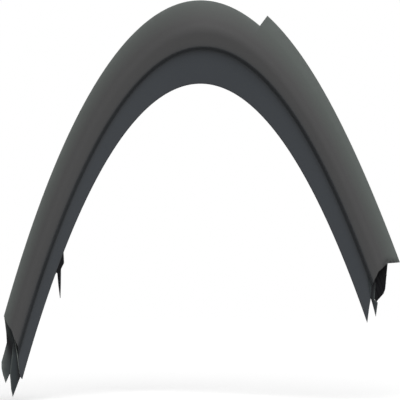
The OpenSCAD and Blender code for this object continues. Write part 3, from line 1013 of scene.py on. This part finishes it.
def plastic(finish, name, base, roughness, gloss, drift, wear, dust, cells, relief):
    """A moulded plastic: drifting tone, rubbed edges, a little dust and a grain of given relief.

    The base is a colour, or a function that makes a colour socket in the material."""
    found = bpy.data.materials.get(name)
    if found:
        return found
    material = bpy.data.materials.new(name)
    material.use_nodes = True
    tree = material.node_tree
    shader = tree.nodes["Principled BSDF"]
    shader.inputs["IOR"].default_value = PLASTIC_IOR
    shader.inputs["Specular IOR Level"].default_value = gloss
    tone = place_group(tree, tone_drift, Roughness=roughness, Drift=drift)
    if callable(base):
        tree.links.new(base(tree), tone.inputs["Colour"])
    else:
        tone.inputs["Colour"].default_value = (*base, 1)
    worn = place_group(tree, edge_wear_and_highlight, Amount=wear)
    dusty = place_group(tree, settled_dust, Amount=dust)
    # Edges lightened by rubbing and a painted highlight.
    worn_and_highlighted = blended(tree, worn.outputs[0], tone.outputs["Colour"], finish.worn)
    tree.links.new(blended(tree, dusty.outputs[0], worn_and_highlighted, finish.dust), shader.inputs["Base Color"])
    tree.links.new(tone.outputs["Roughness"], shader.inputs["Roughness"])
    grain = place_group(tree, mould_grain, Cells_per_metre=cells)
    bump = tree.nodes.new("ShaderNodeBump")
    bump.inputs["Strength"].default_value = GRAIN_STRENGTH
    bump.inputs["Distance"].default_value = relief
    tree.links.new(grain.outputs["Height"], bump.inputs["Height"])
    tree.links.new(bump.outputs["Normal"], shader.inputs["Normal"])
    return material


def grained_charcoal(finish):
    """The grained front: bleached towards the outer edge, nicked at the right cut, bluish on the band
    and dark in the crease."""
    def zones(tree):
        across = mark(tree, "across")
        # Painted highlight: lighter towards the outer edge.
        highlight = spread(tree, across, *HIGHLIGHT_RANGE, 0.0, 1.0)
        # Painted shade: the band is darker and bluish than the face.
        band = spread(tree, across, -BAND_START * WALL_SHARE, -WALL_SHARE, 0.0, 1.0)
        face = blended(tree, highlight, finish.face, finish.bleached)
        # Painted shade: dark notches along the right cut.
        torn = spread(tree, noise(tree, 1 / finish.nick_pitch).outputs[0], *TORN_RANGE, TORN_LEAST, 1.0)
        painted_notch_shade = maths(tree, "MULTIPLY", mark(tree, "notch_shaded"), torn)
        notch_shaded = blended(tree, painted_notch_shade, face, finish.black)
        # Painted shade in the crease and at the inner rim.
        return blended(tree, mark(tree, "painted_shade"), blended(tree, band, notch_shaded, finish.band), finish.painted_shade)

    return plastic(
        finish, "grained_charcoal", zones, finish.roughness, finish.gloss,
        drift=0.10, wear=finish.wear, dust=0.05, cells=1 / finish.grain, relief=0.00012,
    )


def smooth_reverse(finish):
    """The smooth back, as the mould's core leaves it."""
    return plastic(
        finish, "smooth_reverse", finish.reverse, finish.smooth_roughness, finish.gloss,
        drift=0.14, wear=0.0, dust=0.03, cells=0.5 / finish.grain, relief=0.00002,
    )


def grey_tongue(finish):
    """The dark grey leaf and spikes, lighter along their outer edges and dark next to the cuts."""
    def shaded(tree):
        # Painted shade: darker next to the cuts, where the sheet shades the tongues.
        return blended(tree, mark(tree, "painted_shade"), finish.tongue, finish.black)

    return plastic(
        finish, "grey_tongue", shaded, finish.roughness, finish.tongue_gloss,
        drift=0.12, wear=1.0, dust=0.02, cells=1 / finish.grain, relief=0.00004,
    )


def painted_highlight_rim(finish):
    """The raised rim of the left spike, rubbed bright."""
    return plastic(
        finish, "painted_highlight_rim", finish.worn, finish.smooth_roughness, finish.gloss,
        drift=0.12, wear=0.0, dust=0.0, cells=1 / finish.grain, relief=0.00002,
    )


def painted_shade_black(finish):
    """The near-black panel and blade."""
    return plastic(
        finish, "painted_shade_black", finish.black, finish.roughness, finish.black_gloss,
        drift=0.12, wear=0.0, dust=0.0, cells=1 / finish.grain, relief=0.00004,
    )


# Stage

def look_at(thing, target):
    """Turns a lamp or camera so that its -Z axis points at the target."""
    thing.rotation_euler = (Vector(target) - thing.location).to_track_quat("-Z", "Y").to_euler()


def far_lamp(name, towards, strength, softness):
    """A far soft lamp, so the light is even: it stands in a direction and has an apparent size."""
    data = bpy.data.lights.new(name, "SUN")
    data.energy, data.angle = strength, softness
    lamp = bpy.data.objects.new(name, data)
    lamp.location = towards
    bpy.context.scene.collection.objects.link(lamp)
    look_at(lamp, (0, 0, 0))


def seen_rays(tree):
    """1 for camera, glossy and transmission rays, and 0 for the rest."""
    path = tree.nodes.new("ShaderNodeLightPath")
    glossy = maths(tree, "MAXIMUM", path.outputs["Is Camera Ray"], path.outputs["Is Glossy Ray"])
    return maths(tree, "MAXIMUM", glossy, path.outputs["Is Transmission Ray"])


def white_world(stage):
    """A world that is white where it is seen and soft where it lights."""
    world = bpy.data.worlds.new("studio")
    world.use_nodes = True
    tree = world.node_tree
    back = tree.nodes["Background"]
    back.inputs["Color"].default_value = (1, 1, 1, 1)
    tree.links.new(spread(tree, seen_rays(tree), 0.0, 1.0, stage.ambient, 1.0), back.inputs["Strength"])
    return world


def floor_material(stage):
    """Pale floor: a diffuse that keeps the shadow, and a glow that only seen rays meet."""
    material = bpy.data.materials.new("pale_floor")
    material.use_nodes = True
    tree = material.node_tree
    shader = tree.nodes["Principled BSDF"]
    shader.inputs["Base Color"].default_value = FLOOR_TONE
    shader.inputs["Roughness"].default_value = FLOOR_ROUGHNESS
    shader.inputs["Specular IOR Level"].default_value = 0.0
    shader.inputs["Emission Color"].default_value = (1, 1, 1, 1)
    glow = spread(tree, seen_rays(tree), 0.0, 1.0, 0.0, stage.floor_glow)
    tree.links.new(glow, shader.inputs["Emission Strength"])
    return material


def build_floor(trim, stage):
    """A square floor just below the tip of the foot, as a closed slab."""
    half, top = stage.floor_size / 2, trim.foot - stage.floor_gap
    corners = np.array([(-half, -half), (half, -half), (half, half), (-half, half)])
    heights = (top - FLOOR_THICKNESS, top)
    points, faces = prism(*(np.column_stack([corners, np.full(4, z)]) for z in heights))
    mesh = bpy.data.meshes.new("floor")
    mesh.from_pydata(points.tolist(), [], faces)
    mesh.materials.append(floor_material(stage))
    floor = bpy.data.objects.new("floor", mesh)
    bpy.context.scene.collection.objects.link(floor)


def build_camera(stage):
    """A long lens square to the front: its distance is the view's width times lens over sensor."""
    data = bpy.data.cameras.new("camera")
    data.lens, data.sensor_width, data.clip_end = stage.lens, SENSOR_WIDTH, CLIP_END
    camera = bpy.data.objects.new("camera", data)
    distance = stage.view_width * stage.lens / SENSOR_WIDTH
    camera.location = (stage.view_x, stage.view_y - distance, stage.view_z)
    bpy.context.scene.collection.objects.link(camera)
    look_at(camera, (stage.view_x, stage.view_y, stage.view_z))
    bpy.context.scene.camera = camera


# Operators

class MESH_OT_trim_sheet(bpy.types.Operator):
    """Build the swept sheet of the trim"""

    bl_idname = "mesh.trim_sheet"
    bl_label = "Sheet"

    def execute(self, context):
        finish = context.scene.trim_finish
        materials = [grained_charcoal(finish), smooth_reverse(finish)]
        piece = build_sheet(Trim(context.scene), finish, materials)
        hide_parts(NODE)
        return {"FINISHED"}


class MESH_OT_trim_ribs(bpy.types.Operator):
    """Build the cross ribs behind the face"""

    bl_idname = "mesh.trim_ribs"
    bl_label = "Cross ribs"

    def execute(self, context):
        build_ribs(Trim(context.scene), [smooth_reverse(context.scene.trim_finish)])
        return {"FINISHED"}


class MESH_OT_trim_towers(bpy.types.Operator):
    """Build the clip towers behind the face"""

    bl_idname = "mesh.trim_towers"
    bl_label = "Clip towers"

    def execute(self, context):
        build_towers(Trim(context.scene), [smooth_reverse(context.scene.trim_finish)])
        return {"FINISHED"}


class MESH_OT_trim_bosses(bpy.types.Operator):
    """Build the screw bosses behind the band"""

    bl_idname = "mesh.trim_bosses"
    bl_label = "Screw bosses"

    def execute(self, context):
        build_bosses(Trim(context.scene), [smooth_reverse(context.scene.trim_finish)])
        return {"FINISHED"}


class MESH_OT_trim_tongues(bpy.types.Operator):
    """Build the tongues at the two ends"""

    bl_idname = "mesh.trim_tongues"
    bl_label = "End tongues"

    def execute(self, context):
        finish = context.scene.trim_finish
        materials = grey_tongue(finish), painted_shade_black(finish), painted_highlight_rim(finish)
        build_tongues(Trim(context.scene), finish, *materials)
        return {"FINISHED"}


class MESH_OT_trim_blade(bpy.types.Operator):
    """Build the locating blade on the left leg"""

    bl_idname = "mesh.trim_blade"
    bl_label = "Locating blade"

    def execute(self, context):
        # The blade is painted near-black as shade.
        build_blade(Trim(context.scene), [painted_shade_black(context.scene.trim_finish)])
        return {"FINISHED"}


class SCENE_OT_trim_stage(bpy.types.Operator):
    """Set the floor, the world, the lamps and the camera"""

    bl_idname = "scene.trim_stage"
    bl_label = "Stage"

    def execute(self, context):
        scene, stage = context.scene, context.scene.trim_stage
        build_floor(Trim(scene), stage)
        build_camera(stage)
        far_lamp("key_lamp", KEY_TOWARDS, stage.key, stage.key_softness)
        far_lamp("fill_lamp", FILL_TOWARDS, stage.fill, stage.fill_softness)
        scene.world = white_world(stage)
        scene.view_settings.view_transform = "Standard"
        return {"FINISHED"}


class VIEW3D_PT_arch_trim(bpy.types.Panel):
    """Steps and sizes of the trim"""

    bl_label = "Arch trim"
    bl_space_type = "VIEW_3D"
    bl_region_type = "UI"
    bl_category = "Arch trim"

    def draw(self, context):
        for operator in OPERATORS:
            self.layout.operator(operator.bl_idname)
        for name, group in GROUPS.items():
            column = self.layout.column(heading=group.__doc__.split(".")[0])
            for field in group.__annotations__:
                column.prop(getattr(context.scene, name), field)


GROUPS = {
    "trim_arch": ArchSizes,
    "trim_face": FaceSizes,
    "trim_band": BandSizes,
    "trim_sheet": SheetSizes,
    "trim_fixings": FixingSizes,
    "trim_finish": Finish,
    "trim_stage": StageSettings,
}
OPERATORS = [
    MESH_OT_trim_sheet,
    MESH_OT_trim_ribs,
    MESH_OT_trim_towers,
    MESH_OT_trim_bosses,
    MESH_OT_trim_tongues,
    MESH_OT_trim_blade,
    SCENE_OT_trim_stage,
]
CLASSES = [*GROUPS.values(), *OPERATORS, VIEW3D_PT_arch_trim]


def register():
    """Registers the classes and puts the sizes on the scene."""
    for cls in CLASSES:
        bpy.utils.register_class(cls)
    for name, group in GROUPS.items():
        setattr(bpy.types.Scene, name, PointerProperty(type=group))


def unregister():
    """Takes the sizes and the classes away again."""
    for name in GROUPS:
        delattr(bpy.types.Scene, name)
    for cls in reversed(CLASSES):
        bpy.utils.unregister_class(cls)


def main():
    """Builds the trim and its stage, and writes the boxes of both models."""
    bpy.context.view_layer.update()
    register()
    bpy.ops.mesh.trim_sheet()
    bpy.ops.mesh.trim_ribs()
    bpy.ops.mesh.trim_towers()
    bpy.ops.mesh.trim_bosses()
    bpy.ops.mesh.trim_tongues()
    bpy.ops.mesh.trim_blade()
    bpy.ops.scene.trim_stage()


if __name__ == "__main__":
    main()
